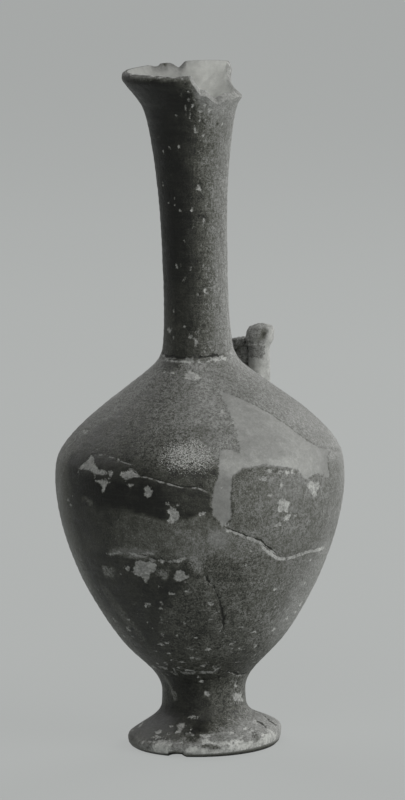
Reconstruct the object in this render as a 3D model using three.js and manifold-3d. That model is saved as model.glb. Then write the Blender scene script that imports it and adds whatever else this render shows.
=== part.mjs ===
import * as THREE from "three";
import { mergeVertices } from "three/addons/utils/BufferGeometryUtils.js";
import Module from "manifold-3d";

// A wheel-thrown long-necked jug on a trumpet foot, standing on its foot ring at z = 0.
// Millimetres, +Z up. The side in the picture faces -Y and the broken handle is behind, at +X +Y.

// Foot
const footEdgeRadius = 28.2;
const footEdgeHeight = 2.9;
const ringOuterRadius = 26.6;
const ringInnerRadius = 21.6;
const flangeRadius = 27.3;
const flangeHeight = 4.5;
const flangeSlope = -50;
const stemRadius = 15.5;
const stemHeight = 15.7;
const waistRadius = 15.3;
const waistHeight = 19.4;

// Hollow under the foot
const recessTopRadius = 5.5;
const recessDepth = 13.7;

// Body
const lowerBodyRadius = 30.6;
const lowerBodyHeight = 40.5;
const lowerBodySlope = 36.6;
const bellyRadius = 52.6;
const bellyHeight = 98.4;
const ridgeRadius = 51.2;
const ridgeHeight = 108.1;
const ridgeSlope = -26;

// Shoulder and neck
const shoulderTopRadius = 19.2;
const shoulderTopHeight = 137.2;
const shoulderSlope = -50;
const neckFootRadius = 12.8;
const neckFootHeight = 146.8;
const neckFootSlope = -8;
const neckRadius = 11.9;
const neckNarrowHeight = 181.2;
const neckTopRadius = 17.4;
const neckTopHeight = 233.8;
const neckTopSlope = 25;

// Lip
const lipRadius = 24.4;
const lipSwellHeight = 243.7;
const lipTopRadius = 23.2;
const lipHeight = 246.5;

// Walls, measured square to the surface
const bodyWall = 4.5;
const neckWall = 3.4;
const lipWall = 2.9;
const floorHeight = 32.2;
const floorFlatRadius = 7.0;

// How far each curve of the profile keeps the direction that it leaves or arrives with
const flangeReach = 7;
const stemReachBelow = 4.5;
const stemReachAbove = 1.2;
const waistReachBelow = 1.2;
const waistReachAbove = 8.4;
const lowerBodyReachBelow = 11.6;
const lowerBodyReachAbove = 18.2;
const bellyReachBelow = 19.4;
const bellyReachAbove = 3.5;
const ridgeReachBelow = 2.5;
const ridgeReachAbove = 12.5;
const shoulderReachBelow = 11;
const shoulderReachAbove = 3.2;
const neckFootReachBelow = 5.5;
const neckFootReachAbove = 10;
const neckReach = 12;
const neckTopReachBelow = 9;
const neckTopReachAbove = 3;
const lipReachBelow = 2.6;
const lipReachAbove = 1.5;
const lipTopReach = 0.9;

// Inner edge of the foot ring and of the lip
const ringBevelWidth = 2.5;
const ringBevelHeight = 3.2;
const lipInnerWidth = 2.2;
const lipInnerDepth = 1.3;
const lipInnerRound = 1.1;
const mouthFlare = 0.7;
const mouthAir = 4;
const wallThinsBelow = 12;
const wallThinsAbove = 4;

// How far the turning drifts sideways from the belly axis, by height
const drift = [
  [0, -0.5], [60, -0.3], [bellyHeight, 0], [122, 0.5], [shoulderTopHeight, 0.4], [180, 0], [lipHeight, -0.5],
];

// Warp of the foot edge on the right and of the lip at the back right
const footEdgeLift = 2.2;
const lipLift = 1.3;
const lipLiftAngle = 66;
const lipLiftStart = 237.2;

// Broken outlines: degrees round the jug from +X toward +Y, and height
const lipBreak = [
  [-91, 247.2], [-88, 243.9], [-84, 241.4], [-79, 239.1], [-70, 238.0], [-60, 235.8], [-56, 235.4],
  [-46, 236.6], [-28, 237.2], [-8, 236.3], [15, 236.4], [36, 237.7], [43, 239.3], [49, 241.4],
  [50.5, 244.2], [51.5, 249.2],
];
const lipNotch = [[90, 247.7], [95.5, 245.1], [99.5, 243.7], [106, 245.2], [113, 247.2]];
const footChip = [[-118, -0.5], [-115, 0.9], [-109, 1.1], [-105, -0.5]];
const breakLean = 0.6;
const breakInnerRadius = 12;
const notchInnerRadius = 18;
const breakOuterRadius = 30;
const breakTopHeight = 258;
const chipInnerRadius = 24.5;
const chipOuterRadius = 32;
const chipLowHeight = -3;

// Handle root: two rolls side by side, broken off a little above the shoulder
const handleAngle = 50.5;
const rootRadius = 30.0;
const rollRadius = 3.9;
const rollSpacing = 8.2;
const rootBottom = 119.2;
const nearRollTop = 150.6;
const farRollTop = 145.4;
const knobSwell = 1.2;
const knobLength = 8.5;
const nearWear = 2.6;
const farWear = 0.7;
const farBreakSlope = 5;
const rootSplay = 2.3;
const rootSplayStart = 143.2;

const turnSegments = 60;

// Curves between two points, leaving and arriving at angles measured from straight up toward outward
function curve(start, startAngle, startReach, end, endAngle, endReach, steps) {
  const a = THREE.MathUtils.degToRad(startAngle);
  const b = THREE.MathUtils.degToRad(endAngle);
  const from = new THREE.Vector2(start[0], start[1]);
  const to = new THREE.Vector2(end[0], end[1]);
  const bend = new THREE.CubicBezierCurve(
    from,
    new THREE.Vector2(from.x + Math.sin(a) * startReach, from.y + Math.cos(a) * startReach),
    new THREE.Vector2(to.x - Math.sin(b) * endReach, to.y - Math.cos(b) * endReach),
    to,
  );
  return bend.getPoints(steps).slice(1);
}

// Outside of the jug from the foot edge up to the lip
const flange = [flangeRadius, flangeHeight];
const stem = [stemRadius, stemHeight];
const waist = [waistRadius, waistHeight];
const lowerBody = [lowerBodyRadius, lowerBodyHeight];
const belly = [bellyRadius, bellyHeight];
const ridge = [ridgeRadius, ridgeHeight];
const shoulderTop = [shoulderTopRadius, shoulderTopHeight];
const neckFoot = [neckFootRadius, neckFootHeight];
const neckNarrow = [neckRadius, neckNarrowHeight];
const neckTop = [neckTopRadius, neckTopHeight];
const lipSwell = [lipRadius, lipSwellHeight];
const outside = [
  new THREE.Vector2(ringOuterRadius, 0),
  new THREE.Vector2(footEdgeRadius, footEdgeHeight),
  new THREE.Vector2(flangeRadius, flangeHeight),
  ...curve(flange, flangeSlope, flangeReach, stem, 0, stemReachBelow, 5),
  ...curve(stem, -4, stemReachAbove, waist, 0, waistReachBelow, 1),
  ...curve(waist, 0, waistReachAbove, lowerBody, lowerBodySlope, lowerBodyReachBelow, 5),
  ...curve(lowerBody, lowerBodySlope, lowerBodyReachAbove, belly, 0, bellyReachBelow, 7),
  ...curve(belly, 0, bellyReachAbove, ridge, ridgeSlope, ridgeReachBelow, 2),
  ...curve(ridge, ridgeSlope, ridgeReachAbove, shoulderTop, shoulderSlope, shoulderReachBelow, 5),
  ...curve(shoulderTop, shoulderSlope, shoulderReachAbove, neckFoot, neckFootSlope, neckFootReachBelow, 3),
  ...curve(neckFoot, neckFootSlope, neckFootReachAbove, neckNarrow, 0, neckReach, 2),
  ...curve(neckNarrow, 0, neckReach, neckTop, neckTopSlope, neckTopReachBelow, 5),
  ...curve(neckTop, neckTopSlope, neckTopReachAbove, lipSwell, 28, lipReachBelow, 3),
  ...curve(lipSwell, 0, lipReachAbove, [lipTopRadius, lipHeight], -80, lipTopReach, 2),
];

// Outside radius and its change with height, read off the profile
function outsideAt(z) {
  for (let i = 1; i < outside.length; i += 1) {
    const low = outside[i - 1];
    const high = outside[i];
    if (z >= low.y && z <= high.y) {
      const share = (z - low.y) / Math.max(high.y - low.y, 1e-6);
      return low.x + share * (high.x - low.x);
    }
  }
  return lipTopRadius;
}

function wallAt(z) {
  const neckShare = THREE.MathUtils.smoothstep(z, shoulderTopHeight, neckFootHeight);
  const thinsFrom = neckTopHeight - wallThinsBelow;
  const thinsTo = neckTopHeight + wallThinsAbove;
  const lipShare = THREE.MathUtils.smoothstep(z, thinsFrom, thinsTo);
  const wall = bodyWall + (neckWall - bodyWall) * neckShare;
  return wall + (lipWall - wall) * lipShare;
}

function insideAt(z) {
  const step = 2.0;
  const low = Math.max(z - step, waistHeight);
  const high = Math.min(z + step, lipSwellHeight);
  const slope = (outsideAt(high) - outsideAt(low)) / (high - low);
  return outsideAt(z) - wallAt(z) * Math.hypot(1, slope);
}

// Space inside the jug, from the floor up through the mouth
const insideHeights = [40, 49, 61, 76, 91, 105, 114, 126, 136, 146, 201, 222, 233, 240];
const inside = [
  new THREE.Vector2(0, floorHeight),
  new THREE.Vector2(floorFlatRadius, floorHeight),
  ...insideHeights.map((z) => new THREE.Vector2(insideAt(z), z)),
  new THREE.Vector2(lipTopRadius - lipInnerWidth, lipHeight - lipInnerDepth),
  new THREE.Vector2(lipTopRadius - lipInnerRound, lipHeight),
  new THREE.Vector2(lipTopRadius - lipInnerRound + mouthFlare, lipHeight + mouthAir),
  new THREE.Vector2(0, lipHeight + mouthAir),
];

const wasm = await Module();
wasm.setup();

function solidOf(geometry) {
  geometry.deleteAttribute("normal");
  geometry.deleteAttribute("uv");
  const merged = mergeVertices(geometry, 1e-4);
  return new wasm.Manifold(new wasm.Mesh({
    numProp: 3,
    vertProperties: new Float32Array(merged.attributes.position.array),
    triVerts: new Uint32Array(merged.index.array),
  }));
}

// A profile turned about the upright axis
function turned(profile) {
  const geometry = new THREE.LatheGeometry(profile, turnSegments);
  geometry.rotateX(Math.PI / 2);
  return solidOf(geometry);
}

// A curved wall-shaped piece of air between two radii, with one edge following a broken outline
function brokenAway(outline, innerRadius, outerRadius, farHeight, lean) {
  const corners = [];
  for (const [angle, height] of outline) {
    const a = THREE.MathUtils.degToRad(angle);
    for (const [radius, z] of [
      [innerRadius, height + lean * (outsideAt(height) - innerRadius)],
      [outerRadius, height - lean * (outerRadius - outsideAt(height))],
      [outerRadius, farHeight],
      [innerRadius, farHeight],
    ]) {
      corners.push(radius * Math.cos(a), radius * Math.sin(a), z);
    }
  }
  const faces = [];
  const last = (outline.length - 1) * 4;
  for (let i = 0; i < outline.length - 1; i += 1) {
    for (let k = 0; k < 4; k += 1) {
      const a = i * 4 + k;
      const b = i * 4 + ((k + 1) % 4);
      faces.push(a, a + 4, b, b, a + 4, b + 4);
    }
  }
  faces.push(0, 1, 2, 0, 2, 3, last, last + 2, last + 1, last, last + 3, last + 2);
  if (farHeight < outline[0][1]) {
    faces.reverse();
  }
  const geometry = new THREE.BufferGeometry();
  geometry.setAttribute("position", new THREE.Float32BufferAttribute(corners, 3));
  geometry.setIndex(faces);
  return solidOf(geometry);
}

// One roll of the handle root, upright, swelling into a worn knob at its top if it has one
function handleRoll(side, top, swell, wear, slope) {
  const knob = rollRadius + swell;
  const geometry = new THREE.LatheGeometry([
    new THREE.Vector2(0, rootBottom),
    new THREE.Vector2(rollRadius, rootBottom),
    new THREE.Vector2(rollRadius, top - knobLength),
    new THREE.Vector2(knob, top - knobLength * 0.65),
    new THREE.Vector2(knob, top - wear),
    new THREE.Vector2(knob - wear * 0.3, top - wear * 0.3),
    new THREE.Vector2(knob - wear, top),
    new THREE.Vector2(0, top),
  ], 20);
  geometry.rotateX(Math.PI / 2);
  const place = geometry.attributes.position;
  const along = THREE.MathUtils.degToRad(handleAngle);
  const fall = Math.tan(THREE.MathUtils.degToRad(slope));
  for (let i = 0; i < place.count; i += 1) {
    const share = (place.getZ(i) - rootBottom) / (top - rootBottom);
    const height = place.getZ(i) + fall * share * place.getX(i);
    const splay = rootSplay * Math.max(0, height - rootSplayStart) / 10;
    const radial = rootRadius + place.getY(i) + splay;
    const tangent = place.getX(i) + side * rollSpacing / 2;
    place.setXYZ(
      i,
      radial * Math.cos(along) + tangent * Math.sin(along),
      radial * Math.sin(along) - tangent * Math.cos(along),
      height,
    );
  }
  return solidOf(geometry);
}

// Sideways drift of the turning at a height
function driftAt(z) {
  for (let i = 1; i < drift.length; i += 1) {
    if (z <= drift[i][0]) {
      const share = THREE.MathUtils.smoothstep(z, drift[i - 1][0], drift[i][0]);
      return drift[i - 1][1] + share * (drift[i][1] - drift[i - 1][1]);
    }
  }
  return drift[drift.length - 1][1];
}

// Hand-made unevenness: drift of the axis, lifted foot edge on the right, lifted lip at the back right
function settle(x, y, z) {
  const radius = Math.hypot(x, y);
  let height = z;
  if (z > 0.01 && z < waistHeight && radius > recessTopRadius) {
    const outward = THREE.MathUtils.smoothstep(radius, waistRadius, footEdgeRadius);
    height += footEdgeLift * outward * ((1 + x / radius) / 2) ** 2;
  }
  if (z > lipLiftStart) {
    const turn = Math.atan2(y, x) - THREE.MathUtils.degToRad(lipLiftAngle);
    const share = (z - lipLiftStart) / (lipHeight - lipLiftStart);
    height += lipLift * share * Math.max(0, Math.cos(turn)) ** 2;
  }
  return [x + driftAt(z), y, height];
}

const outer = turned([
  new THREE.Vector2(0, recessDepth),
  new THREE.Vector2(recessTopRadius, recessDepth),
  new THREE.Vector2(ringInnerRadius - ringBevelWidth, ringBevelHeight),
  new THREE.Vector2(ringInnerRadius, 0),
  ...outside,
  new THREE.Vector2(0, lipHeight),
]);
const hollow = turned(inside);

let vessel = outer
  .add(handleRoll(1, nearRollTop, knobSwell, nearWear, 0))
  .add(handleRoll(-1, farRollTop, 0, farWear, farBreakSlope))
  .subtract(hollow)
  .subtract(brokenAway(lipBreak, breakInnerRadius, breakOuterRadius, breakTopHeight, breakLean))
  .subtract(brokenAway(lipNotch, notchInnerRadius, breakOuterRadius, breakTopHeight, breakLean / 2))
  .subtract(brokenAway(footChip, chipInnerRadius, chipOuterRadius, chipLowHeight, 0));
vessel = vessel.warp((point) => {
  const [x, y, z] = settle(point[0], point[1], point[2]);
  point[0] = x;
  point[1] = y;
  point[2] = z;
});

const made = vessel.getMesh();
const shape = new THREE.BufferGeometry();
shape.setAttribute("position", new THREE.Float32BufferAttribute(made.vertProperties, 3));
shape.setIndex(new THREE.Uint32BufferAttribute(made.triVerts, 1));
shape.computeVertexNormals();

const firedClay = new THREE.MeshStandardMaterial({ color: 0x4a4a49, roughness: 0.55, metalness: 0 });
firedClay.name = "fired_clay";

const jug = new THREE.Mesh(shape, firedClay);
jug.name = "jug";

const root = new THREE.Group();
root.name = "jug_model";
root.add(jug);

export default root;
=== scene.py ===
import math

import bpy
import numpy as np
from mathutils import Matrix, Vector, noise


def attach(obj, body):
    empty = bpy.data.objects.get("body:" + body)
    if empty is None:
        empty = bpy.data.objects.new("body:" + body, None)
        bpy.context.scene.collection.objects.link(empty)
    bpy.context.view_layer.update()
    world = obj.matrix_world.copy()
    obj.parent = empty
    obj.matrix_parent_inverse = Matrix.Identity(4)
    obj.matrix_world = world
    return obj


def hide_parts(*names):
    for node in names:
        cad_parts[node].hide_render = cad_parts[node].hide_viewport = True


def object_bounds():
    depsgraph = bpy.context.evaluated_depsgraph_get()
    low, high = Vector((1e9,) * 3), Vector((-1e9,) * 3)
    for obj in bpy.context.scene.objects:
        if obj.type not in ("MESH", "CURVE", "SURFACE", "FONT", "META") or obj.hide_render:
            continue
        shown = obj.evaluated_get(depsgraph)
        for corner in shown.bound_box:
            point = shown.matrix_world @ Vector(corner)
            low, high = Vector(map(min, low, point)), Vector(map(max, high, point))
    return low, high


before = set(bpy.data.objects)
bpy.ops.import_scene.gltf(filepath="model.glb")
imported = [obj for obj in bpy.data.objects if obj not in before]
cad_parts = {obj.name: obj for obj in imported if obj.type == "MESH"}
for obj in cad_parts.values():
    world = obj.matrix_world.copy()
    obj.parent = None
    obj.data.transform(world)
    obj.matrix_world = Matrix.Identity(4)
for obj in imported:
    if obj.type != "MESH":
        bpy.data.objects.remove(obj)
frame_low, frame_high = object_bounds()
MM = 0.001

# Sizes of the jug in millimetres, as in the solid but for the rounded edge of the foot
RING_OUTER, RING_INNER, RECESS_RADIUS, RECESS_DEPTH = 26.6, 21.6, 5.5, 13.7
FOOT_EDGE = (28.2, 2.9)
FOOT_TOP = (26.3, 5.2)
STEM = (15.5, 15.7)
WAIST = (15.3, 19.4)
LOWER_BODY = (30.6, 40.5)
BELLY = (52.6, 98.4)
RIDGE = (51.2, 108.1)
SHOULDER_TOP = (19.2, 137.2)
NECK_FOOT = (12.8, 146.8)
NECK = (11.9, 181.2)
NECK_TOP = (17.4, 233.8)
LIP_SWELL = (24.4, 243.7)
LIP_TOP = (23.2, 246.5)
LIP_INNER_WIDTH, LIP_INNER_DEPTH, LIP_INNER_ROUND = 2.2, 1.3, 1.1
MOUTH_RADIUS = LIP_TOP[0] - LIP_INNER_ROUND
FLOOR_HEIGHT, FLOOR_RADIUS = 32.2, 7.0
BODY_WALL, NECK_WALL, LIP_WALL = 4.5, 3.4, 2.9
WALL_THINS_BELOW, WALL_THINS_ABOVE = 12, 4
# Sideways drift of the turning: height, shift
DRIFT = [(0, -0.5), (60, -0.3), (98.4, 0), (122, 0.5), (137.2, 0.4), (180, 0), (246.5, -0.5)]
FOOT_LIFT = 2.2
LIP_LIFT, LIP_LIFT_ANGLE, LIP_LIFT_START = 1.3, 66, 237.2
# The scene's own sizes: where the inside turns to the mouth and to the floor, steps of the turning
MOUTH_START, BOWL_START, BOWL_TURN, TURNING_STEP = 241.2, 39.0, (15.0, 35.0), 3.1
BREAK_LEAN, NOTCH_LEAN = 0.6, 0.2

# Broken outlines: degrees round from +X toward +Y, height
LIP_BREAK = [
    (-91, 247.2), (-88, 243.9), (-84, 241.4), (-79, 239.1), (-70, 238.0), (-60, 235.8),
    (-56, 235.4), (-46, 236.6), (-28, 237.2), (-8, 236.3), (15, 236.4), (36, 237.7),
    (43, 239.3), (49, 241.4), (50.5, 244.2), (51.5, 249.2),
]
LIP_NOTCH = [
    (90, 247.7), (95.5, 245.1), (99.5, 243.7), (106, 245.2), (111, 247.2), (116, 247.2),
    (118, 245.6), (126, 245.3), (131, 247.2),
]
FOOT_CHIP = [(-120, 0.0), (-118, 0.7), (-113, 1.4), (-108, 1.2), (-104.5, 0.0)]

# Handle root
HANDLE_ANGLE, ROOT_RADIUS, ROLL_RADIUS, ROLL_SPACING, ROOT_BOTTOM = 50.5, 30.0, 3.9, 8.2, 121.0
NEAR_TOP, FAR_TOP, KNOB_SWELL, KNOB_LENGTH = 150.6, 145.4, 1.2, 8.5
NEAR_WEAR, FAR_WEAR, FAR_SLOPE = 2.6, 0.7, 5
ROOT_SPLAY, ROOT_SPLAY_START = 2.3, 143.2
# Marks on the near roll: hollow to the right of its middle and its height, heights of two ledges
KNOB_HOLLOW, KNOB_LEDGE, STEM_LEDGE = (1.5, 146.9), 144.1, 139.3

# Camera places in metres, size of the photograph in pixels, its scale and its lean in degrees
DISTANCE, EYE_HEIGHT, LOOK_X, LOOK_Z = 2.12, 0.4522, 0.0016, 0.1264
PHOTO_WIDE, PHOTO_TALL = 405, 800
MM_PER_PIXEL, PRINT_LEAN = 0.3623, 1.33
# Stretch of a line of sight where the jug is looked for, in shares of the way to the aim
SIGHT_NEAR, SIGHT_FAR, SIGHT_STEPS = 0.95, 1.05, 8001


def bend(start, start_angle, start_reach, end, end_angle, end_reach, steps):
    """Points of a curve leaving start and reaching end at angles from straight up toward outward."""
    a, b = math.radians(start_angle), math.radians(end_angle)
    p0, p3 = np.array(start, float), np.array(end, float)
    p1 = p0 + np.array([math.sin(a), math.cos(a)]) * start_reach
    p2 = p3 - np.array([math.sin(b), math.cos(b)]) * end_reach
    t = np.linspace(0, 1, steps + 1)[1:, None]
    return (1 - t) ** 3 * p0 + 3 * t * (1 - t) ** 2 * p1 + 3 * t * t * (1 - t) * p2 + t**3 * p3


LONG_CURVE = 24
outside = np.vstack([
    [(RING_OUTER - 0.2, 0)],
    bend((RING_OUTER - 0.2, 0), 62, 1.5, FOOT_EDGE, 0, 1.5, 7),
    bend(FOOT_EDGE, 0, 1.3, FOOT_TOP, -54, 1.5, 8),
    bend(FOOT_TOP, -54, 5.8, STEM, 0, 4.5, LONG_CURVE),
    bend(STEM, -4, 1.2, WAIST, 0, 1.2, 4),
    bend(WAIST, 0, 8.4, LOWER_BODY, 36.6, 11.6, LONG_CURVE),
    bend(LOWER_BODY, 36.6, 18.2, BELLY, 0, 19.4, LONG_CURVE),
    bend(BELLY, 0, 3.5, RIDGE, -26, 2.5, 10),
    bend(RIDGE, -26, 12.5, SHOULDER_TOP, -50, 11, LONG_CURVE),
    bend(SHOULDER_TOP, -50, 3.2, NECK_FOOT, -8, 5.5, 12),
    bend(NECK_FOOT, -8, 10, NECK, 0, 12, 12),
    bend(NECK, 0, 12, NECK_TOP, 25, 9, LONG_CURVE),
    bend(NECK_TOP, 25, 3, LIP_SWELL, 28, 2.6, 12),
    bend(LIP_SWELL, 0, 1.5, LIP_TOP, -80, 0.9, 8),
])
outside_z, outside_r = outside[:, 1], outside[:, 0]
outside_s = np.concatenate([[0], np.cumsum(np.hypot(np.diff(outside_r), np.diff(outside_z)))])


def outside_at(z):
    return np.interp(z, outside_z, outside_r)


def length_at(z):
    """Distance along the outside profile up to a height."""
    return np.interp(z, outside_z, outside_s)


def smooth(low, high, x):
    t = np.clip((np.asarray(x, float) - low) / (high - low), 0, 1)
    return t * t * (3 - 2 * t)


def wall_at(z):
    wall = BODY_WALL + (NECK_WALL - BODY_WALL) * smooth(SHOULDER_TOP[1], NECK_FOOT[1], z)
    thins = smooth(NECK_TOP[1] - WALL_THINS_BELOW, NECK_TOP[1] + WALL_THINS_ABOVE, z)
    return wall + (LIP_WALL - wall) * thins


def below_mouth_at(z):
    """Radius of the inside, a wall's thickness in from the outside."""
    z = np.asarray(z, float)
    low, high = np.maximum(z - 2, WAIST[1]), np.minimum(z + 2, LIP_SWELL[1])
    slope = (outside_at(high) - outside_at(low)) / (high - low)
    return outside_at(z) - wall_at(z) * np.hypot(1, slope)


inside_top = float(below_mouth_at(MOUTH_START))


def inside_at(z):
    heights = [MOUTH_START, LIP_TOP[1] - LIP_INNER_DEPTH, LIP_TOP[1]]
    near_lip = np.interp(z, heights, [inside_top, LIP_TOP[0] - LIP_INNER_WIDTH, MOUTH_RADIUS])
    return np.where(z > MOUTH_START, near_lip, below_mouth_at(z))


def drift_at(z):
    heights, shifts = np.array(DRIFT, float).T
    i = np.clip(np.searchsorted(heights, z) - 1, 0, len(DRIFT) - 2)
    t = smooth(0, 1, (z - heights[i]) / (heights[i + 1] - heights[i]))
    return shifts[i] + t * (shifts[i + 1] - shifts[i])


def on_jug(*pixels):
    """Degrees round and height of the points of the jug that the photograph shows at its pixels."""
    eye = np.array([LOOK_X, -DISTANCE, EYE_HEIGHT]) / MM
    aim = np.array([LOOK_X, 0, LOOK_Z]) / MM - eye
    right = np.array([1.0, 0, 0])
    up = np.cross(right, aim) / np.linalg.norm(aim)
    lean = math.radians(PRINT_LEAN)
    steps = np.linspace(SIGHT_NEAR, SIGHT_FAR, SIGHT_STEPS)[:, None]
    points = []
    for pixel_x, pixel_y in pixels:
        across = (pixel_x - PHOTO_WIDE / 2) * MM_PER_PIXEL
        rise = (PHOTO_TALL / 2 - pixel_y) * MM_PER_PIXEL
        across, rise = (
            across * math.cos(lean) + rise * math.sin(lean),
            rise * math.cos(lean) - across * math.sin(lean),
        )
        # walk along the line of sight to the first point inside the profile, or the nearest to it
        sight = eye + steps * (aim + right * across + up * rise)
        x, y, z = sight[:, 0] - drift_at(sight[:, 2]), sight[:, 1], sight[:, 2]
        gap = np.where((z > 0) & (z < LIP_TOP[1]), np.hypot(x, y) - outside_at(z), np.inf)
        k = np.argmax(gap < 0) if (gap < 0).any() else np.argmin(gap)
        points.append((math.degrees(math.atan2(y[k], x[k])), float(z[k])))
    return points


# Fills of smooth plaster
SHOULDER_FILL = (
    on_jug(
        (219, 389), (224, 391), (240, 397), (256, 405), (272, 414), (290, 427), (305, 438), (318, 446),
        (328, 448), (340, 449), (341, 452), (331, 450), (328, 456), (329, 466), (331, 478), (325, 476),
        (318, 474), (312, 477), (306, 480), (301, 476), (298, 469),
    )
    + [(-52.5, 107.5), (-57, 108.4), (-63.6, 109.4), (-70.5, 109), (-74.6, 108.8)]
    + on_jug((239, 447), (237, 434), (233, 421), (227, 407), (221, 396))
)
BELLY_STRIP = (
    on_jug((218, 451), (228, 448), (239, 450))
    + [(-71, 111), (-72.6, 108.6), (-75.6, 107.2), (-77.2, 105.6)]
    + on_jug(
        (232, 488), (231, 498), (233, 514), (231, 521), (225, 527), (222, 527), (212.5, 516),
        (211.5, 504), (213, 488), (218, 476), (219, 462),
    )
)

# Flaked patches that follow an outline
FLAKES = {
    "left blob": on_jug(
        (79, 466), (84, 462.5), (88, 463), (88, 457), (91, 454.5), (94, 457.5), (94, 464), (97, 468),
        (103, 470), (106, 471.5), (105.5, 474.5), (100, 474.5), (95, 474.5), (90, 471), (85, 470),
        (80, 469),
    ),
    "left dot": on_jug((108, 471), (112, 470), (113, 474), (111, 477), (108, 475)),
    "forked drip": on_jug(
        (94, 479), (99, 480), (106, 479), (110.5, 481.5), (105, 486.5), (103.5, 492), (102, 492),
        (101, 487), (98, 483), (94, 481.5),
    ),
    "middle blob": on_jug(
        (120, 474), (123, 471), (128, 471.5), (130, 467.5), (134, 470.5), (138, 474.5), (150, 477.5),
        (137, 477), (131, 477.5), (127, 480), (124, 481.5), (122, 477),
    ),
    "diamond": on_jug(
        (147, 484), (150, 486.5), (153, 491), (151, 496), (147, 498), (144, 496), (143, 491),
    ),
    "square": on_jug(
        (168, 510), (171, 508), (176, 509), (179, 512), (180, 517), (177, 520), (176, 523), (172, 523),
        (166, 521.5), (170, 516),
    ),
    "big blob": on_jug(
        (135, 561.5), (140, 560), (146, 562), (152, 561), (156, 566), (155, 571), (150, 574),
        (149, 580), (147, 585), (144, 582), (142, 577), (136, 576), (132, 573), (133, 567),
    ),
    "pale bar": on_jug(
        (158, 559.5), (166, 561), (176, 560), (187, 557.5), (187, 559.5), (178, 563), (167, 564),
        (158, 562.5),
    ),
    "right of big blob": on_jug(
        (175, 572), (180, 570), (184, 571.5), (185, 575), (190, 576), (186, 580), (180, 583),
        (176, 581.5), (173, 578),
    ),
    "chip below neck": on_jug(
        (183, 377), (186, 371), (190, 369), (197, 372), (200, 377), (199, 381), (192, 380), (186, 378),
    ),
    "right panel high": [
        (-44.6, 101.7), (-39.6, 101.2), (-35, 100.4), (-36.4, 96.4), (-38.4, 94.6), (-41.2, 97.2),
    ],
    "right panel low": [(-58.4, 96.6), (-55.6, 97), (-52.2, 95.4), (-53.6, 91.6), (-57.8, 92.2)],
    "foot left": on_jug(
        (156, 741), (160, 739), (171, 740), (173, 745), (172, 752), (166, 755), (157, 754), (153, 750),
    ),
    "foot front": on_jug(
        (200, 740), (206, 740), (212, 742), (216, 743), (227, 742), (228, 747), (222, 749), (216, 748),
        (212, 745), (203, 746),
    ),
    "foot front right": on_jug((229, 742), (240, 741), (241, 746), (229, 745.5)),
    "foot band": on_jug((200, 735), (210, 734.5), (215, 736), (211, 738), (201, 738)),
    "foot speck": on_jug((186, 735), (190, 731), (195, 735), (192, 737)),
    "flange left": on_jug((176, 724), (186, 724), (182, 729), (180, 733), (174, 733), (178, 728)),
    "stem right": (
        on_jug((233, 694), (237, 692))
        + [(-24, 19), (-20, 16.2), (-34, 16.3)]
        + on_jug((234, 701))
    ),
    "joint left": [
        (-158, 143.2), (-134, 142.9), (-112, 143.1), (-96, 142.9), (-96, 142.1), (-116, 142.3),
        (-140, 142.2), (-157, 142.5),
    ],
    "joint right": [(-92, 143.4), (-70, 143.5), (-44, 143.7), (-44, 142.6), (-68, 142.5), (-91, 142.4)],
    "shoulder top left": [(-140, 139.4), (-126, 139.2), (-116, 138.6), (-126, 138.4), (-139, 138.8)],
}

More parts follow.
